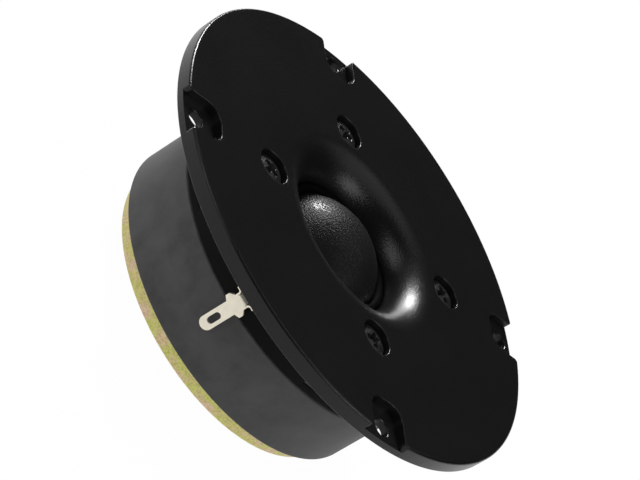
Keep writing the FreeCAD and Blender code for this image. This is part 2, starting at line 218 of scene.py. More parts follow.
class TweeterStageSettings(bpy.types.PropertyGroup):
    """Camera, floor and lamps."""

    azimuth: angle("Azimuth", "Turn of the camera round the axis", 1.3707)
    elevation: angle("Elevation", "Camera above the flange's plane", 25.793)
    roll: angle("Roll", "Turn of the camera about its own line", 58.368)
    distance: length("Distance", "From the flange's centre to the camera", 560.68 * MM)
    aside: height("Aside", "Camera moved along its own width", -5.909 * MM)
    upward: height("Upward", "Camera moved along its own height", -0.134 * MM)
    lens: number("Lens", "Focal length in millimetres", 156.3, min=1.0)
    floor_radius: length("Floor", "Radius of the floor", 6.0)
    lamp_distance: length("Lamp distance", "From the flange's centre to each lamp", 1.2)
    key: power("Key", "Power of the small bright lamp", 16.0)
    fill: power("Fill", "Power of the side lamp; the front lamp has three quarters of it", 5.0)
    overhead: power("Overhead", "Power of the wide lamp above", 2.6)
    ambient: number("Ambient", "Strength of the even light", 0.42, min=0.0)
    ceiling: number("Ceiling", "How bright the ceiling looks in a mirror", 0.008, min=0.0, max=1.0)
    floor_glow: number("Floor glow", "Share of the floor's own white", 0.975, min=0.0, max=1.0)


# --- surfaces -------------------------------------------------------------------------

def grid_quads(rows, cols, wrap_rows):
    """Corner numbers of the quads between neighbouring points of a grid whose rows are closed."""
    i, j = np.meshgrid(np.arange(rows if wrap_rows else rows - 1), np.arange(cols), indexing="ij")
    i, j = i.ravel(), j.ravel()
    i_next, j_next = (i + 1) % rows, (j + 1) % cols
    return np.stack([i * cols + j, i * cols + j_next, i_next * cols + j_next, i_next * cols + j], 1)


def new_mesh(name, points, quads, rings=()):
    """A mesh of numpy points and quads; each ring of point numbers becomes one flat face."""
    faces = [quads.ravel()] + [np.asarray(ring) for ring in rings]
    sizes = np.concatenate([np.full(len(quads), 4)] + [[len(ring)] for ring in rings])
    starts = np.concatenate([[0], np.cumsum(sizes)[:-1]])
    corners = np.concatenate(faces)
    mesh = bpy.data.meshes.new(name)
    mesh.vertices.add(len(points))
    mesh.vertices.foreach_set("co", points.astype(np.float32).ravel())
    mesh.loops.add(len(corners))
    mesh.loops.foreach_set("vertex_index", corners.astype(np.int32))
    mesh.polygons.add(len(sizes))
    mesh.polygons.foreach_set("loop_start", starts.astype(np.int32))
    mesh.update(calc_edges=True)
    mesh.validate()
    return mesh


def rework(mesh, change):
    """Changes a mesh through a working copy."""
    work = bmesh.new()
    work.from_mesh(mesh)
    change(work)
    work.to_mesh(mesh)
    work.free()


def seal(work):
    """Merges the points of poles and seams and turns every face outwards."""
    bmesh.ops.remove_doubles(work, verts=work.verts, dist=1e-7)
    bmesh.ops.recalc_face_normals(work, faces=work.faces)


def add_object(name, mesh):
    """An object at the origin that shows the mesh."""
    piece = bpy.data.objects.new(name, mesh)
    bpy.context.scene.collection.objects.link(piece)
    return piece


def surface(name, points, wrap_rows=False, caps=False):
    """A surface from a grid of points, rows x columns x 3, closed along its rows: from row to row
    it closes to itself, or gets its end rows capped, if asked."""
    rows, cols = points.shape[:2]
    rings = ()
    if caps:
        first = np.arange(cols)
        rings = (first, first[::-1] + (rows - 1) * cols)
    quads = grid_quads(rows, cols, wrap_rows)
    mesh = new_mesh(name, points.reshape(-1, 3), quads, rings)
    rework(mesh, seal)
    return add_object(name, mesh)


def rounded(corners, steps=5):
    """Open profile whose inner corners (r, z, fillet) become arcs: the arc starts and ends at
    fillet / tan(half the corner) from the corner and its points are spread evenly by angle."""
    corners = np.array(corners, float)
    spot, fillet = corners[:, :2], corners[:, 2]
    run = [spot[:1]]
    for before, here, after, size in zip(spot[:-2], spot[1:-1], spot[2:], fillet[1:-1]):
        if size == 0.0:
            run.append(here[None])
            continue
        a = (before - here) / np.linalg.norm(before - here)
        b = (after - here) / np.linalg.norm(after - here)
        half = math.acos(np.clip(a @ b, -1.0, 1.0)) / 2
        centre = here + (a + b) / np.linalg.norm(a + b) * size / math.sin(half)
        start = here + a * size / math.tan(half) - centre
        end = here + b * size / math.tan(half) - centre
        turn = math.pi - 2 * half
        t = np.linspace(0.0, 1.0, steps + 1)[:, None]
        bend = np.sin((1 - t) * turn) * start + np.sin(t * turn) * end
        run.append(centre + bend / math.sin(turn))
    run.append(spot[-1:])
    return np.vstack(run)


def arc(centre, radius, start, end, steps):
    """Points centre + radius (sin a, cos a) for a from start to end, a measured from the axis."""
    a = np.linspace(start, end, steps)
    return np.stack([centre[0] + radius * np.sin(a), centre[1] + radius * np.cos(a)], 1)


def line(r0, z0, r1, z1, steps):
    """Evenly spread points of a straight run of a profile."""
    return np.stack([np.linspace(r0, r1, steps), np.linspace(z0, z1, steps)], 1)


def revolved(profile, turns):
    """Grid of a surface of revolution: (r, z) at angle a lies at (r cos a, r sin a, z)."""
    a = np.linspace(0.0, 2 * math.pi, turns, endpoint=False)
    r, z = profile.T
    return np.stack([np.outer(r, np.cos(a)), np.outer(r, np.sin(a)),
                     np.outer(z, np.ones(turns))], 2)


def lathe(name, profile, turns=256):
    """A closed solid of revolution whose profile is a closed run of (r, z)."""
    return surface(name, revolved(profile, turns), wrap_rows=True)


def spread(grid, radius=0.0):
    """Four copies of a grid, shifted out to the radius and turned about the axis by 45, 135, 225
    and 315 degrees."""
    grids = []
    for a in EIGHTH + np.arange(4) * QUARTER:
        shifted = grid + np.array([radius, 0.0, 0.0])
        turn = np.array([[math.cos(a), math.sin(a), 0], [-math.sin(a), math.cos(a), 0], [0, 0, 1]])
        grids.append(shifted @ turn)
    return grids


def joined(name, pieces):
    """One object out of several, which are removed."""
    def gather(work):
        for piece in pieces:
            work.from_mesh(piece.data)
            discard(piece)

    mesh = bpy.data.meshes.new(name)
    rework(mesh, gather)
    return add_object(name, mesh)


def discard(piece):
    """Removes an object and its mesh."""
    mesh = piece.data
    bpy.data.objects.remove(piece)
    bpy.data.meshes.remove(mesh)


def carve(piece, *cutters):
    """Takes the cutters out of the piece, one after the other, and removes them."""
    for cutter in cutters:
        step = piece.modifiers.new("carve", "BOOLEAN")
        step.operation = "DIFFERENCE"
        step.solver = "EXACT"
        step.object = cutter
    graph = bpy.context.evaluated_depsgraph_get()
    carved = bpy.data.meshes.new_from_object(piece.evaluated_get(graph))
    before = piece.data
    piece.modifiers.clear()
    piece.data = carved
    bpy.data.meshes.remove(before)
    carved.name = piece.name
    for cutter in cutters:
        discard(cutter)
    if len(carved.polygons) < 10:
        raise RuntimeError(piece.name + " was lost while it was carved")


def shade(piece, degrees=30.0):
    """Smooth shading that stops at edges sharper than the angle, with flat faces kept flat."""
    mesh = piece.data
    mesh.polygons.foreach_set("use_smooth", np.ones(len(mesh.polygons), bool))
    mesh.set_sharp_from_angle(angle=math.radians(degrees))
    weigh = piece.modifiers.new("flat faces", "WEIGHTED_NORMAL")
    weigh.keep_sharp = True


def merged_copy(name, node):
    """A copy of a frame node's mesh with its loose triangles joined along their edges."""
    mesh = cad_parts[node].data.copy()
    mesh.name = name
    rework(mesh, lambda work: bmesh.ops.remove_doubles(work, verts=work.verts, dist=1e-6))
    return add_object(name, mesh)


def finish_piece(piece, finish, body, node):
    """Gives a piece its finish and its body, and hides the frame node it stands for."""
    piece.data.materials.clear()
    piece.data.materials.append(material(finish))
    if body:
        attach(piece, body)
    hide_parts(node)


def turned_piece(name, profile, finish, node, body=MOTOR, turns=256, sharp=30.0):
    """A smooth solid of revolution with all that finish_piece gives it."""
    piece = lathe(name, profile, turns)
    shade(piece, sharp)
    finish_piece(piece, finish, body, node)


# --- node groups and materials --------------------------------------------------------

def add_node(tree, kind, sockets=None, **fields):
    """A node with its fields set. Each input named or numbered in sockets is linked, if it's given
    another node's output, and takes any other value as its own."""
    made = tree.nodes.new(kind)
    for field, value in fields.items():
        setattr(made, field, value)
    for socket, value in (sockets or {}).items():
        if isinstance(value, bpy.types.NodeSocket):
            tree.links.new(value, made.inputs[socket])
        else:
            made.inputs[socket].default_value = value
    return made


def cleared(owner):
    """The empty node tree of a material or a world."""
    owner.use_nodes = True
    owner.node_tree.nodes.clear()
    return owner.node_tree


def math_node(tree, operation, *values):
    """The output of a Math node fed by outputs or numbers."""
    return add_node(tree, "ShaderNodeMath", dict(enumerate(values)), operation=operation).outputs[0]


def noise(tree, place, scale, detail, rough=0.5, distortion=0.0):
    """The output of a Noise texture."""
    return add_node(tree, "ShaderNodeTexNoise", {
        "Vector": place, "Scale": scale, "Detail": detail, "Roughness": rough,
        "Distortion": distortion}).outputs["Fac"]


def remap(tree, value, low, high, to_low=0.0, to_high=1.0):
    """The value with its range from low to high laid over to_low to to_high."""
    return add_node(tree, "ShaderNodeMapRange", {
        "Value": value, "From Min": low, "From Max": high,
        "To Min": to_low, "To Max": to_high}).outputs["Result"]


def tinted(tree, share, first, second, blend="MIX"):
    """The first colour turning into the second, or multiplied by it, by the share."""
    return add_node(tree, "ShaderNodeMix", {0: share, 6: first, 7: second},
                    data_type="RGBA", blend_type=blend).outputs[2]


def rgba(base, share=1.0):
    """A base colour made lighter or darker by the share, with full alpha."""
    return (*[channel * share for channel in base], 1.0)


def start_group(name, **inputs):
    """A shader group with a Vector input and the given ones, whose names have _ for a space: a
    number makes a number input, and four of them a colour. Gives back the tree and its inputs."""
    tree = bpy.data.node_groups.new(name, "ShaderNodeTree")
    tree.interface.new_socket(name="Vector", in_out="INPUT", socket_type="NodeSocketVector")
    for label, default in inputs.items():
        kind = "NodeSocketFloat" if isinstance(default, float) else "NodeSocketColor"
        tree.interface.new_socket(name=label.replace("_", " "), in_out="INPUT",
                                  socket_type=kind).default_value = default
    return tree, tree.nodes.new("NodeGroupInput").outputs


def end_group(tree, **outputs):
    """The group with its outputs, each fed by what is given."""
    for label in outputs:
        kind = "NodeSocketColor" if label == "Color" else "NodeSocketFloat"
        tree.interface.new_socket(name=label, in_out="OUTPUT", socket_type=kind)
    add_node(tree, "NodeGroupOutput", outputs)
    return tree


def grain_group():
    """Fine grain of a moulding, a coating or fired ferrite: two noises, one small, one broad."""
    tree, given = start_group(
        "fine grain", Grain_Scale=6000.0, Patch_Scale=120.0, Base_Color=(0.5, 0.5, 0.5, 1.0),
        Patch_Color=(0.6, 0.6, 0.6, 1.0), Smooth=0.4, Rough=0.5)
    small = noise(tree, given["Vector"], given["Grain Scale"], 1.5)
    broad = noise(tree, given["Vector"], given["Patch Scale"], 5.0, 0.62)
    patches = remap(tree, broad, 0.3, 0.7)
    return end_group(
        tree, Color=tinted(tree, patches, given["Base Color"], given["Patch Color"]),
        Roughness=remap(tree, broad, 0.0, 1.0, given["Smooth"], given["Rough"]), Height=small)


def weave_group():
    """Plain weave: threads along X and Y that pass over each other in turn, sin x times sin y,
    shifted and blurred by the uneven coating, whose highest grains are its glossy specks. Its
    colour is painted shade in the valleys between the threads and a painted highlight on their
    crowns."""
    tree, given = start_group(
        "coated weave", Pitch=0.00026, Unevenness=0.3, Valley_Color=(0.1, 0.1, 0.1, 1.0),
        Crown_Color=(0.2, 0.2, 0.2, 1.0))
    wobble = noise(tree, given["Vector"], 900.0, 3.0)
    split = add_node(tree, "ShaderNodeSeparateXYZ", {0: given["Vector"]}).outputs
    shift = math_node(tree, "MULTIPLY", math_node(tree, "SUBTRACT", wobble, 0.5), 5.0)
    step = math_node(tree, "DIVIDE", math.pi, given["Pitch"])
    waves = [math_node(tree, "SINE", math_node(
        tree, way, math_node(tree, "MULTIPLY", split[axis], step), shift))
        for axis, way in (("X", "ADD"), ("Y", "SUBTRACT"))]
    crossing = math_node(tree, "MULTIPLY", math_node(tree, "MULTIPLY", *waves), 0.5)
    crown = math_node(tree, "ADD", crossing, 0.5)
    fine = noise(tree, given["Vector"], 2700.0, 1.5)
    grain = math_node(tree, "MULTIPLY", fine, given["Unevenness"])
    relief = math_node(tree, "MULTIPLY", crown, 0.4)
    # the colour follows the weave's height: painted shade in the valleys, painted highlight on the
    # crowns
    return end_group(
        tree, Color=tinted(tree, crown, given["Valley Color"], given["Crown Color"]),
        Height=math_node(tree, "ADD", relief, grain), Specks=remap(tree, fine, 0.53, 0.57))


def bloom_group():
    """Passivated zinc: the base colour drifts to green and to pink in soft clouds, and fine dull
    specks darken it."""
    tree, given = start_group(
        "zinc bloom", Base_Color=(0.7, 0.6, 0.4, 1.0), Green=(0.56, 0.60, 0.15, 1.0),
        Pink=(0.72, 0.50, 0.40, 1.0), Cloud_Scale=60.0)
    place, scale = given["Vector"], given["Cloud Scale"]
    moved = add_node(tree, "ShaderNodeMapping", {"Vector": place, "Location": (0.31, 0.17, 0.05)})
    green = remap(tree, noise(tree, place, scale, 4.0, 0.6, 0.8), 0.42, 0.60, 0.0, 0.8)
    pink = noise(tree, moved.outputs[0], math_node(tree, "MULTIPLY", scale, 0.6), 3.0)
    clouded = tinted(tree, green, given["Base Color"], given["Green"])
    clouded = tinted(tree, remap(tree, pink, 0.48, 0.66, 0.0, 0.8), clouded, given["Pink"])
    speck = noise(tree, place, 2200.0, 4.0, 0.7)
    dull = remap(tree, speck, 0.45, 0.6, 0.0, 0.7)
    return end_group(
        tree, Color=tinted(tree, dull, clouded, (0.66, 0.60, 0.52, 1.0), "MULTIPLY"),
        Roughness=remap(tree, speck, 0.0, 1.0, 0.30, 0.55), Height=speck)


def turned_group():
    """Turned steel: rings about the axis, each a little brighter or duller than the next."""
    tree, given = start_group("turned rings", Ring_Scale=5000.0)
    split = add_node(tree, "ShaderNodeSeparateXYZ", {0: given["Vector"]}).outputs
    square = math_node(tree, "ADD", math_node(tree, "POWER", split["X"], 2.0),
                       math_node(tree, "POWER", split["Y"], 2.0))
    place = add_node(tree, "ShaderNodeCombineXYZ", {
        "X": math_node(tree, "SQRT", square), "Y": split["Z"]})
    rings = noise(tree, place.outputs[0], given["Ring Scale"], 2.0)
    return end_group(tree, Height=rings, Roughness=remap(tree, rings, 0.0, 1.0, 0.22, 0.45))


EFFECTS = {"fine grain": grain_group, "coated weave": weave_group, "zinc bloom": bloom_group,
           "turned rings": turned_group}
FED = {"Color": "Base Color", "Roughness": "Roughness", "Specks": "Coat Weight"}
SPECULAR, METALLIC = "Specular IOR Level", "Metallic"

# Finishes with fine grain: the colour's name in the settings, how much lighter the patches are,
# the roughness of smooth and of rough spots, the scales of the grain and of the patches, the
# relief's strength and its depth in metres, and one of the shader's own sockets with its value.
GRAINED = {
    "faceplate moulding": (
        "moulding", 1.12, 0.26, 0.32, 3000.0, 60.0, 0.9, 0.00006, SPECULAR, 0.25),
    "surround coating": ("surround", 1.5, 0.6, 0.75, 2600.0, 500.0, 0.6, 0.00004, SPECULAR, 0.01),
    "frame moulding": ("frame_black", 1.2, 0.38, 0.5, 4200.0, 80.0, 0.3, 0.00002, SPECULAR, 0.06),
    "black steel": ("screw", 1.8, 0.3, 0.48, 2200.0, 900.0, 0.9, 0.00008, SPECULAR, 0.4),
    "ferrite": ("ferrite", 2.0, 0.45, 0.7, 1800.0, 170.0, 0.6, 0.00004, SPECULAR, 0.35),
    "felt": ("felt", 1.8, 0.85, 0.95, 1800.0, 600.0, 1.0, 0.0003, SPECULAR, 0.1),
    "dark steel": ("dark_steel", 1.3, 0.42, 0.55, 2600.0, 300.0, 0.3, 0.00002, METALLIC, 1.0),
    "tinned brass": ("tin", 1.12, 0.28, 0.42, 2400.0, 500.0, 0.25, 0.00002, METALLIC, 0.7),
    "copper": ("copper", 0.9, 0.25, 0.4, 3000.0, 400.0, 0.2, 0.00002, METALLIC, 1.0),
    "foil": ("foil", 0.95, 0.2, 0.35, 2000.0, 300.0, 0.15, 0.00001, METALLIC, 1.0),
    "solder": ("solder", 1.2, 0.15, 0.35, 1500.0, 900.0, 0.3, 0.00003, METALLIC, 1.0),
}

# Bare turned metals: the colour's name in the settings and the scale of the rings.
TURNED = {"turned steel": ("steel", 6000.0), "enamelled wire": ("copper", 9000.0)}


def new_finish(name, effect, given, strength, depth, constants):
    """A material whose shader takes colour, gloss and relief from the named effect, and all else
    as constants on its own sockets."""
    made = bpy.data.materials.new(name)
    tree = cleared(made)
    group = bpy.data.node_groups.get(effect) or EFFECTS[effect]()
    place = add_node(tree, "ShaderNodeTexCoord").outputs["Object"]
    shown = add_node(tree, "ShaderNodeGroup", {"Vector": place, **given}, node_tree=group).outputs
    relief = add_node(tree, "ShaderNodeBump", {
        "Strength": strength, "Distance": depth, "Height": shown["Height"]})
    fed = {socket: shown[output] for output, socket in FED.items() if output in shown}
    shader = add_node(tree, "ShaderNodeBsdfPrincipled",
                      {**constants, **fed, "Normal": relief.outputs[0]})
    add_node(tree, "ShaderNodeOutputMaterial", {"Surface": shader.outputs[0]})
    return made


def material(name):
    """The named finish, made once: the cloth's threads carry a painted highlight on their crowns
    and painted shade in their valleys.
    """
    found = bpy.data.materials.get(name)
    if found and found.get("tweeter"):
        return found
    colours = bpy.context.scene.tweeter_finish
    if name in GRAINED:
        field, patch, smooth, rough, grain, patches, strength, depth, socket, value = GRAINED[name]
        base = getattr(colours, field)
        made = new_finish(name, "fine grain", {
            "Grain Scale": grain, "Patch Scale": patches, "Base Color": rgba(base),
            "Patch Color": rgba(base, patch), "Smooth": smooth, "Rough": rough},
            strength, depth, {socket: value})
    elif name in TURNED:
        field, rings = TURNED[name]
        made = new_finish(name, "turned rings", {"Ring Scale": rings}, 0.3, 0.00002, {
            METALLIC: 1.0, "Base Color": rgba(getattr(colours, field))})
    elif name == "coated cloth":
        # the valley colour is painted shade and the crown colour a painted highlight on the threads
        made = new_finish(name, "coated weave", {
            "Pitch": bpy.context.scene.tweeter_diaphragm.thread_pitch, "Unevenness": 3.0,
            "Valley Color": rgba(colours.cloth, 0.7), "Crown Color": rgba(colours.cloth, 1.5)},
            1.0, 0.00005, {
                "Roughness": 0.48, SPECULAR: 0.09, "Coat Roughness": 0.25, "Coat IOR": 1.17})
    elif name == "yellow zinc":
        made = new_finish(name, "zinc bloom", {
            "Base Color": rgba(colours.zinc), "Cloud Scale": 420.0}, 0.3, 0.00003, {METALLIC: 0.75})
    else:
        raise ValueError("no finish is named " + name)
    made["tweeter"] = True
    return made


# --- faceplate ------------------------------------------------------------------------

# How far a cutter reaches past the face that it cuts.
SPARE = 1.0 * MM


def faceplate_profile(p):
    """Throat land, waveguide arc tangent to the face, flange, hub and its bore."""
    width, depth = p.mouth - p.throat, p.face - p.lip - p.land
    bow = (width * width + depth * depth) / (2 * depth)
    lean = math.atan2(width, bow - depth)
    horn = arc((p.mouth, p.face - bow), bow, -lean, 0.0, 44)
    shoulder, root, hub_edge, lip_edge = p.radius - 1.5 * MM, p.hub + 1.0 * MM, 0.2 * MM, 0.08 * MM
    rim = rounded([(shoulder, p.face, 0), (p.radius, p.face, p.edge),
                   (p.radius, 0.0, p.rear_edge), (shoulder, 0.0, 0)], 6)
    hub = rounded([(root, 0.0, 0), (p.hub, 0.0, 0.0), (p.hub, p.hub_foot, hub_edge),
                   (p.bore, p.hub_foot, hub_edge), (p.bore, p.lip, 0.0),
                   (p.throat, p.lip, lip_edge), (p.throat, p.lip + p.land, 0)], 3)
    face = line(p.mouth, p.face, shoulder, p.face, 16)[1:-1]
    rear = line(shoulder, 0.0, root, 0.0, 8)[1:-1]
    return np.vstack([horn, face, rim, rear, hub[:-1]])


def flared(p, half, floor):
    """Offset and height of a cutter's wall from its floor up: straight, then nearly a quarter
    round that opens to the face, and on past it."""
    t = np.linspace(0.0, math.radians(72), 6)
    offset = np.concatenate([[0.0], p.cut_round * (1 - np.cos(t)), [p.cut_round]])
    bend = p.face - p.cut_round * math.sin(t[-1]) + p.cut_round * np.sin(t)
    return half + offset, np.concatenate([[floor], bend, [p.face + SPARE]])


def recess_cutter(p):
    """Long cutter open to the rim: each level is a rectangle with two rounded inner corners and
    two rounds that open to the rim, grown all round by the flare of its wall."""
    grow, level = flared(p, 0.0, p.recess_floor)
    a = np.linspace(0.0, QUARTER, 12)
    corner = (p.recess_corner + grow)[:, None]
    inner = (p.recess_end - grow)[:, None]
    half = (p.recess_half + grow)[:, None]
    bend = (p.recess_flare - grow)[:, None]
    rim = math.sqrt(p.radius ** 2 - (p.recess_half + p.recess_flare) ** 2)
    beyond = np.full_like(half, p.radius + 2 * SPARE)
    x = np.hstack([beyond, rim - p.recess_flare + bend * np.cos(a),
                   inner + corner * (1 - np.sin(a))])
    y = np.hstack([half + bend, half + bend * (1 - np.sin(a)), half - corner * (1 - np.cos(a))])
    x = np.hstack([x, x[:, ::-1]])
    y = np.hstack([y, -y[:, ::-1]])
    z = np.repeat(level[:, None], x.shape[1], 1)
    return np.stack([x, y, z], 2)


def counterbore_cutter(p):
    """Shank hole, seat and counterbore with a rounded mouth, as a profile about its own axis."""
    wide, level = flared(p, p.bore_wide, p.seat)
    low = p.hub_foot - SPARE
    start = [[0.0, low], [p.bore_narrow, low], [p.bore_narrow, p.seat]]
    wall = np.stack([wide, level], 1)
    return revolved(np.vstack([start, wall, [[0.0, level[-1]]]]), 64)


def hole_cutter(p):
    """Fixing hole with a broken upper edge, as a profile about its own axis."""
    r, broken, floor = p.fixing_hole, 0.15 * MM, p.recess_floor
    above = floor + SPARE / 2
    profile = np.array([[0.0, -SPARE], [r, -SPARE], [r, floor - broken], [r + broken, floor],
                        [r + broken, above], [0.0, above]])
    return revolved(profile, 48)


def pocket_cutter(p, start, end):
    """Prism over the ring from pocket_in to pocket_out: at radius r it runs from angle start(r)
    to end(r), and its roof lies at pocket_roof."""
    r = np.linspace(p.pocket_in, p.pocket_out, 17)[:, None]
    t = np.linspace(0.0, 1.0, 33)[None, :]
    a = start(r) * (1 - t) + end(r) * t
    sheet = np.stack([r * np.cos(a), r * np.sin(a)], 2)
    edge = np.concatenate([sheet[0, :], sheet[1:, -1], sheet[-1, -2::-1], sheet[-2:0:-1, 0]])
    levels = np.array([p.hub_foot - SPARE, p.pocket_roof])
    walls = np.concatenate([np.repeat(edge[None], 2, 0),
                            np.repeat(levels[:, None, None], len(edge), 1)], 2)
    return surface("pocket", walls, caps=True)


def pocket_cutters(p):
    """Six pockets between the four screw bosses and the two ribs."""
    def beside_boss(r):
        inner = (r * r + p.screw_circle ** 2 - p.boss ** 2) / (2 * r * p.screw_circle)
        return np.arccos(np.clip(inner, -1.0, 1.0))

    def beside_rib(r):
        return np.arcsin(p.rib / 2 / r)

    made = []
    for index in range(4):
        turn = index * QUARTER
        first = lambda r: turn - EIGHTH + beside_boss(r)
        last = lambda r: turn + EIGHTH - beside_boss(r)
        if index % 2 == 0:
            made.append(pocket_cutter(p, first, lambda r: turn - beside_rib(r)))
            made.append(pocket_cutter(p, lambda r: turn + beside_rib(r), last))
        else:
            made.append(pocket_cutter(p, first, last))
    return made


class TWEETER_OT_faceplate(bpy.types.Operator):
    """Make the moulded flange with its waveguide, recesses, counterbores and cored hub"""

    bl_idname = "tweeter.faceplate"
    bl_label = "Faceplate"

    def execute(self, context):
        p = context.scene.tweeter_faceplate
        plate = lathe("faceplate_moulding", faceplate_profile(p), p.turns)
        cuts = [surface("recess", grid, caps=True) for grid in spread(recess_cutter(p))]
        cuts += [surface("counterbore", grid)
                 for grid in spread(counterbore_cutter(p), p.screw_circle)]
        cuts += pocket_cutters(p)
        holes = [surface("hole", grid) for grid in spread(hole_cutter(p), p.fixing_circle)]
        carve(plate, joined("cuts", cuts), joined("holes", holes))
        shade(plate)
        finish_piece(plate, "faceplate moulding", MOTOR, "faceplate")
        return {"FINISHED"}


# --- faceplate screws -----------------------------------------------------------------

# How far each screw's cross came round when it was driven home, in radians.
CROSS_TURNS = (0.35, 1.15, 0.8, 0.1)


def screw_grid(p, seat):
    """Pan-head screw about its own axis: the shank's radius dips along a helix, a triangle wave
    of height over pitch less angle over a full turn; the head is a plain profile."""
    turns = 48
    a = np.linspace(0.0, 2 * math.pi, turns, endpoint=False)
    z = np.linspace(p.tip, seat, int((seat - p.tip) / p.pitch * 6))[:, None]
    wave = np.abs(((z / p.pitch - a / (2 * math.pi)) % 1.0) * 2 - 1)
    fade = np.clip((z - p.tip) / p.pitch, 0.0, 1.0) * np.clip((seat - z) / p.pitch, 0.0, 1.0)
    point, point_height = 0.25 * MM, 0.3 * MM
    shank = p.shank - p.thread * wave * fade
    shank = shank - point * np.clip(1 - (z - p.tip) / point_height, 0.0, 1.0)
    side = p.head_top - p.crown
    ball = (p.head * p.head + p.crown * p.crown) / (2 * p.crown)
    lean = math.atan2(p.head, ball - p.crown)
    crown = arc((0.0, p.head_top - ball), ball, lean, 0.0, 14)
    broken, below = 0.15 * MM, side - 0.2 * MM
    under = [[p.head - broken, seat], [p.head, seat + broken], [p.head, below]]
    brow = rounded([(p.head, below, 0), (p.head, side, 0.18 * MM), (*crown[1], 0)], 4)
    head = np.vstack([under, brow[1:], crown[2:]])
    shank_points = np.stack([shank * np.cos(a), shank * np.sin(a), np.repeat(z, turns, 1)], 2)
    pole = np.stack([np.zeros(turns), np.zeros(turns), np.full(turns, p.tip)], 1)[None]
    return np.concatenate([pole, shank_points, revolved(head, turns)])


def cross_cutter(p, turn):
    """Cross recess whose arms narrow and shorten towards its floor: twelve corners a level, w
    and s being half an arm's width and half the cross's span there."""
    depth = np.array([-0.6 * MM, 0.0, 0.12 * MM, p.drive_depth])
    w = p.drive_width / 2 * np.array([1.25, 1.25, 1.0, 0.7])
    s = p.drive_span / 2 * np.array([1.06, 1.06, 1.0, 0.42])
    corner_x = np.stack([s, s, w, w, -w, -w, -s, -s, -w, -w, w, w], 1)
    corner_y = np.stack([-w, w, w, s, s, w, w, -w, -w, -s, -s, -w], 1)
    x = corner_x * math.cos(turn) - corner_y * math.sin(turn)
    y = corner_x * math.sin(turn) + corner_y * math.cos(turn)
    z = np.repeat((p.head_top - depth)[:, None], 12, 1)
    return np.stack([x, y, z], 2)


class TWEETER_OT_screws(bpy.types.Operator):
    """Make the four pan-head screws with their threads and cross recesses"""

    bl_idname = "tweeter.screws"
    bl_label = "Faceplate Screws"

    def execute(self, context):
        p = context.scene.tweeter_screws
        plate = context.scene.tweeter_faceplate
        grids = spread(screw_grid(p, plate.seat), plate.screw_circle)
        screws = joined("faceplate_screw_set", [surface("screw", grid) for grid in grids])
        crosses = []
        for index, turn in enumerate(CROSS_TURNS):
            grid = spread(cross_cutter(p, turn), plate.screw_circle)[index]
            crosses.append(surface("cross", grid, caps=True))
        carve(screws, joined("crosses", crosses))
        shade(screws, 35.0)
        finish_piece(screws, "black steel", MOTOR, "faceplate_screws")
        return {"FINISHED"}


# --- dome and surround ----------------------------------------------------------------

def cap_run(radius, base, apex, steps):
    """Meridian of the spherical cap that stands on the rim and reaches the apex."""
    rise = apex - base
    ball = (radius * radius + rise * rise) / (2 * rise)
    lean = math.atan2(radius, ball - rise)
    return arc((0.0, apex - ball), ball, lean, 0.0, steps)


def roll_run(p, start, end, steps=24):
    """Half roll between two angles from its middle, out along the upper skin and back below."""
    outer = p.roll / 2
    centre = (p.radius + p.gap + outer, p.rim)
    return (arc(centre, outer, start, end, steps), arc(centre, outer - p.cloth, end, start, steps))


class TWEETER_OT_diaphragm(bpy.types.Operator):
    """Make the coated cloth dome and the half-roll surround round it"""

    bl_idname = "tweeter.diaphragm"
    bl_label = "Dome and Surround"

    def execute(self, context):
        p = context.scene.tweeter_diaphragm
        inside = p.radius - p.cloth
        skin = cap_run(p.radius, p.rim, p.apex, 56)
        lining = cap_run(inside, p.rim, p.apex - p.cloth, 36)[::-1]
        cuff = np.array([[inside, p.rim - p.cuff], [p.radius, p.rim - p.cuff]])
        turned_piece("cloth_dome", np.vstack([skin, lining, cuff]), "coated cloth",
                     "dome", MOVING, sharp=40.0)

        start = p.radius + p.gap
        upper, lower = roll_run(p, -QUARTER, 0.0)
        foot_in = np.array([[start + p.cloth, p.rim - p.cuff], [start, p.rim - p.cuff]])
        inner = lathe("surround_inner_half", np.vstack([upper, lower, foot_in]))
        shade(inner, 40.0)
        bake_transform(inner)
        finish_piece(inner, "surround coating", None, "surround")

        outer = p.roll / 2
        meet = QUARTER - math.asin(p.cloth / outer)
        upper, _ = roll_run(p, 0.0, meet)
        _, lower = roll_run(p, 0.0, QUARTER)
        edge = np.array([[p.surround, p.rim + p.cloth], [p.surround, p.rim]])
        turned_piece("surround_outer_half", np.vstack([upper, edge, lower]), "surround coating",
                     "surround", sharp=40.0)
        return {"FINISHED"}


# --- magnet system --------------------------------------------------------------------

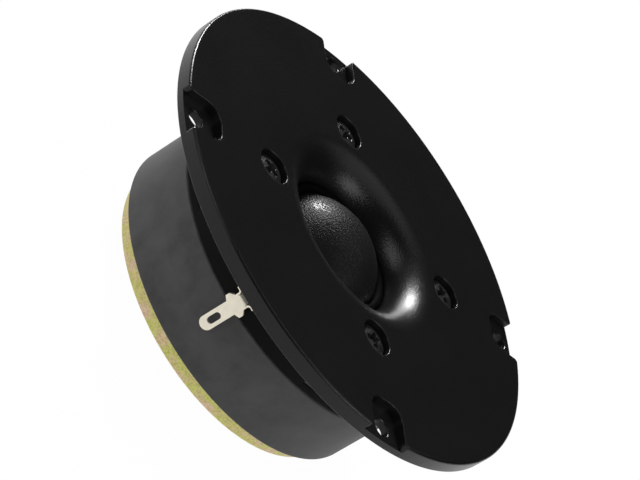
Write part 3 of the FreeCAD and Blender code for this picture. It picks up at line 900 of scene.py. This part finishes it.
class TWEETER_OT_motor(bpy.types.Operator):
    """Make the ferrite ring, the back plate and the core with its pressed end"""

    bl_idname = "tweeter.motor"
    bl_label = "Magnet System"

    def execute(self, context):
        p = context.scene.tweeter_motor
        mid = (p.magnet_top + p.magnet_foot) / 2
        ring = rounded([(p.magnet, mid, 0), (p.magnet, p.magnet_top, p.magnet_edge),
                        (p.magnet_bore, p.magnet_top, p.magnet_edge),
                        (p.magnet_bore, p.magnet_foot, p.magnet_edge),
                        (p.magnet, p.magnet_foot, p.magnet_edge), (p.magnet, mid, 0)], 4)
        turned_piece("ferrite_ring", ring[:-1], "ferrite", "ferrite_magnet", turns=384)

        mid = (p.magnet_foot + p.plate_foot) / 2
        disc = rounded([(p.plate, mid, 0), (p.plate, p.magnet_foot, p.plate_edge),
                        (p.spigot, p.magnet_foot, 0), (p.spigot, p.plate_foot, 0.15 * MM),
                        (p.plate, p.plate_foot, p.plate_edge), (p.plate, mid, 0)], 4)
        turned_piece("rear_steel_plate", disc[:-1], "yellow zinc", "back_plate",
                     turns=384)

        bar = rounded([(0.0, p.plate_foot, 0), (p.spigot, p.plate_foot, 0.15 * MM),
                       (p.spigot, p.magnet_foot, 0), (p.core, p.magnet_foot, 0),
                       (p.core, p.core_top, 0.1 * MM), (0.0, p.core_top, 0)], 3)
        turned_piece("steel_core", bar, "turned steel", "pole_piece", turns=192)
        return {"FINISHED"}


# --- pieces that keep the frame's shape -----------------------------------------------

class TWEETER_OT_frame_parts(bpy.types.Operator):
    """Smooth the diaphragm frame and the front pole plate, and finish the inner pieces"""

    bl_idname = "tweeter.frame_parts"
    bl_label = "Frame and Inner Pieces"

    def execute(self, context):
        for node, name, finish, slot in (
                ("diaphragm_frame", "moulded_frame", "frame moulding", "frame_black"),
                ("front_pole_plate", "front_steel_plate", "dark steel", "pole_plate_zinc")):
            piece = merged_copy(name, node)
            shade(piece, 25.0)
            finish_piece(piece, finish, MOTOR, node)
        inner = {"surround_gasket": "felt", "coil_former": "foil", "coil_winding": "enamelled wire",
                 "copper_cap": "copper", "damping_pad": "felt", "solder_joint_minus": "solder",
                 "solder_joint_plus": "solder"}
        for node, finish in inner.items():
            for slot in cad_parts[node].material_slots:
                slot.material = material(finish)
        return {"FINISHED"}


class TWEETER_OT_leads(bpy.types.Operator):
    """Make the two lead-out wires, which run between the coil and the frame's groove, cut across
    at even steps from the radius free to the radius fixed"""

    bl_idname = "tweeter.leads"
    bl_label = "Lead-out Wires"

    def execute(self, context):
        fixed, free = 20.0 * MM, 14.2 * MM

        def cut(work):
            for place in np.linspace(free, fixed, 13):
                bmesh.ops.bisect_plane(
                    work, geom=work.verts[:] + work.edges[:] + work.faces[:],
                    plane_co=(0.0, way * place, 0.0), plane_no=(0.0, 1.0, 0.0))

        for side, way in (("minus", -1.0), ("plus", 1.0)):
            wire = merged_copy("lead_out_" + side, "lead_wire_" + side)
            rework(wire.data, cut)
            shade(wire, 40.0)
            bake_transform(wire)
            finish_piece(wire, "copper", None, "lead_wire_" + side)
        return {"FINISHED"}


class TWEETER_OT_tags(bpy.types.Operator):
    """Make the two solder tags with the broken edges of a stamped strip"""

    bl_idname = "tweeter.tags"
    bl_label = "Solder Tags"

    def execute(self, context):
        for side in ("minus", "plus"):
            tag = merged_copy("stamped_tag_" + side, "solder_tag_" + side)
            soften = tag.modifiers.new("broken edges", "BEVEL")
            soften.width = 0.05 * MM
            soften.segments = 2
            soften.limit_method = "ANGLE"
            soften.angle_limit = math.radians(40)
            shade(tag, 45.0)
            finish_piece(tag, "tinned brass", MOTOR, "solder_tag_" + side)
        return {"FINISHED"}


# --- stage ----------------------------------------------------------------------------

# Each lamp's way from the flange's centre and the length of its side in metres.
LAMPS = {"key lamp": ((-0.600, 0.690, 0.410), 0.26), "front lamp": ((-0.66, -0.47, 0.585), 0.65),
         "side lamp": ((0.77, -0.24, 0.59), 0.65), "overhead lamp": ((0.25, 0.30, 0.92), 1.0)}
WHITE = (1, 1, 1, 1)


def place_object(name, data, matrix):
    """An object of the stage, turned and moved by the matrix."""
    made = bpy.data.objects.new(name, data)
    made.matrix_world = matrix
    bpy.context.scene.collection.objects.link(made)
    return made


def add_camera(p):
    """The camera, turned and rolled to the studio angle."""
    back = Vector((math.sin(p.azimuth) * math.cos(p.elevation),
                   -math.cos(p.azimuth) * math.cos(p.elevation), math.sin(p.elevation)))
    right = (-back).cross(Vector((0.0, 0.0, 1.0))).normalized()
    up = right.cross(-back)
    across = right * math.cos(p.roll) + up * math.sin(p.roll)
    upright = up * math.cos(p.roll) - right * math.sin(p.roll)
    data = bpy.data.cameras.new("camera")
    data.lens = p.lens
    data.sensor_width = 36.0
    data.clip_start, data.clip_end = 0.01, 50.0
    turn = Matrix((across, upright, back)).transposed().to_4x4()
    spot = back * p.distance + across * p.aside + upright * p.upward
    bpy.context.scene.camera = place_object("camera", data, Matrix.Translation(spot) @ turn)


def add_lamp(name, distance, energy):
    """A square area lamp that looks back at the flange's centre."""
    direction, side = LAMPS[name]
    data = bpy.data.lights.new(name, "AREA")
    data.shape = "SQUARE"
    data.size = side
    data.energy = energy
    way = Vector(direction).normalized()
    turn = way.to_track_quat("Z", "Y").to_matrix().to_4x4()
    place_object(name, data, Matrix.Translation(way * distance) @ turn)


def light_path(tree):
    """The mirror ray's share, and one for every ray by which the stage is seen: straight, in a
    mirror or through glass."""
    path = add_node(tree, "ShaderNodeLightPath").outputs
    mirror = path["Is Glossy Ray"]
    return mirror, math_node(tree, "MAXIMUM", path["Is Camera Ray"], math_node(
        tree, "MAXIMUM", mirror, path["Is Transmission Ray"]))


def mixed(tree, share, first, second):
    """The first shader turning into the second by the share."""
    return add_node(tree, "ShaderNodeMixShader", {
        0: share, 1: first.outputs[0], 2: second.outputs[0]})


def add_world(p):
    """Even light all round. Seen directly it is plain white; in a mirror it is white up to the
    height of a backdrop and falls to the dark ceiling of a studio above it."""
    world = bpy.data.worlds.new("studio")
    tree = cleared(world)
    mirror, seen = light_path(tree)
    way = add_node(tree, "ShaderNodeTexCoord").outputs["Generated"]
    rise = add_node(tree, "ShaderNodeSeparateXYZ", {0: way}).outputs["Z"]
    backdrop = remap(tree, rise, -0.02, 0.05, 1.0, p.ceiling)
    mirrored = add_node(tree, "ShaderNodeMix", {0: mirror, 2: 1.0, 3: backdrop}, data_type="FLOAT")
    light = add_node(tree, "ShaderNodeBackground", {"Color": WHITE, "Strength": p.ambient})
    white = add_node(tree, "ShaderNodeBackground", {
        "Color": WHITE, "Strength": mirrored.outputs[0]})
    add_node(tree, "ShaderNodeOutputWorld", {"Surface": mixed(tree, seen, light, white).outputs[0]})
    bpy.context.scene.world = world


def add_floor(p):
    """Pale floor under the back plate, partly its own white and partly what the lamps give, so
    that a soft shadow stays; seen from below it lets the view through."""
    level = foot("back_plate") - 0.05 * MM
    disc = np.array([[share * p.floor_radius, level] for share in (0.0, 0.1, 0.5, 1.0)])
    floor = surface("floor", revolved(disc, 96))
    if floor.data.polygons[0].normal.z < 0:
        floor.data.flip_normals()
    made = bpy.data.materials.new("pale floor")
    tree = cleared(made)
    seen = light_path(tree)[1]
    paint = add_node(tree, "ShaderNodeBsdfDiffuse", {"Color": (0.93, 0.93, 0.93, 1.0)})
    own = add_node(tree, "ShaderNodeEmission", {"Color": WHITE, "Strength": 1.0})
    shown = mixed(tree, math_node(tree, "MULTIPLY", seen, p.floor_glow), paint, own)
    side = add_node(tree, "ShaderNodeNewGeometry").outputs["Backfacing"]
    both = mixed(tree, side, shown, add_node(tree, "ShaderNodeBsdfTransparent"))
    add_node(tree, "ShaderNodeOutputMaterial", {"Surface": both.outputs[0]})
    floor.data.materials.append(made)


class TWEETER_OT_stage(bpy.types.Operator):
    """Set up the pale floor, the soft lamps and the camera"""

    bl_idname = "tweeter.stage"
    bl_label = "Stage"

    def execute(self, context):
        p = context.scene.tweeter_stage
        context.scene.view_settings.view_transform = "Standard"
        add_camera(p)
        add_world(p)
        add_floor(p)
        for name, energy in (("key lamp", p.key), ("front lamp", 0.75 * p.fill),
                             ("side lamp", p.fill), ("overhead lamp", p.overhead)):
            add_lamp(name, p.lamp_distance, energy)
        return {"FINISHED"}


# --- sidebar and registration ---------------------------------------------------------

MAKERS = ("faceplate", "screws", "diaphragm", "motor", "frame_parts", "leads", "tags", "stage")


class TWEETER_PT_sidebar(bpy.types.Panel):
    """Lists the pieces and their settings"""

    bl_idname = "TWEETER_PT_sidebar"
    bl_label = "Soft Dome Tweeter"
    bl_space_type = "VIEW_3D"
    bl_region_type = "UI"
    bl_category = "Tweeter"

    def draw(self, context):
        for maker in MAKERS:
            self.layout.operator("tweeter." + maker)
        for name in SETTINGS:
            box = self.layout.box()
            box.label(text=name.replace("tweeter_", "").title())
            group = getattr(context.scene, name)
            for field in group.__annotations__:
                box.prop(group, field)


SETTINGS = {
    "tweeter_faceplate": TweeterFaceplateSettings,
    "tweeter_screws": TweeterScrewSettings,
    "tweeter_diaphragm": TweeterDiaphragmSettings,
    "tweeter_motor": TweeterMotorSettings,
    "tweeter_finish": TweeterFinishSettings,
    "tweeter_stage": TweeterStageSettings,
}

CLASSES = (
    *SETTINGS.values(), TWEETER_OT_faceplate, TWEETER_OT_screws, TWEETER_OT_diaphragm,
    TWEETER_OT_motor, TWEETER_OT_frame_parts, TWEETER_OT_leads, TWEETER_OT_tags,
    TWEETER_OT_stage, TWEETER_PT_sidebar,
)


def register():
    for item in CLASSES:
        bpy.utils.register_class(item)
    for name, group in SETTINGS.items():
        setattr(bpy.types.Scene, name, PointerProperty(type=group))


def unregister():
    for name in SETTINGS:
        delattr(bpy.types.Scene, name)
    for item in reversed(CLASSES):
        bpy.utils.unregister_class(item)


def main():
    """Makes every piece and the stage."""
    register()
    for maker in MAKERS:
        getattr(bpy.ops.tweeter, maker)()


if __name__ == "__main__":
    main()
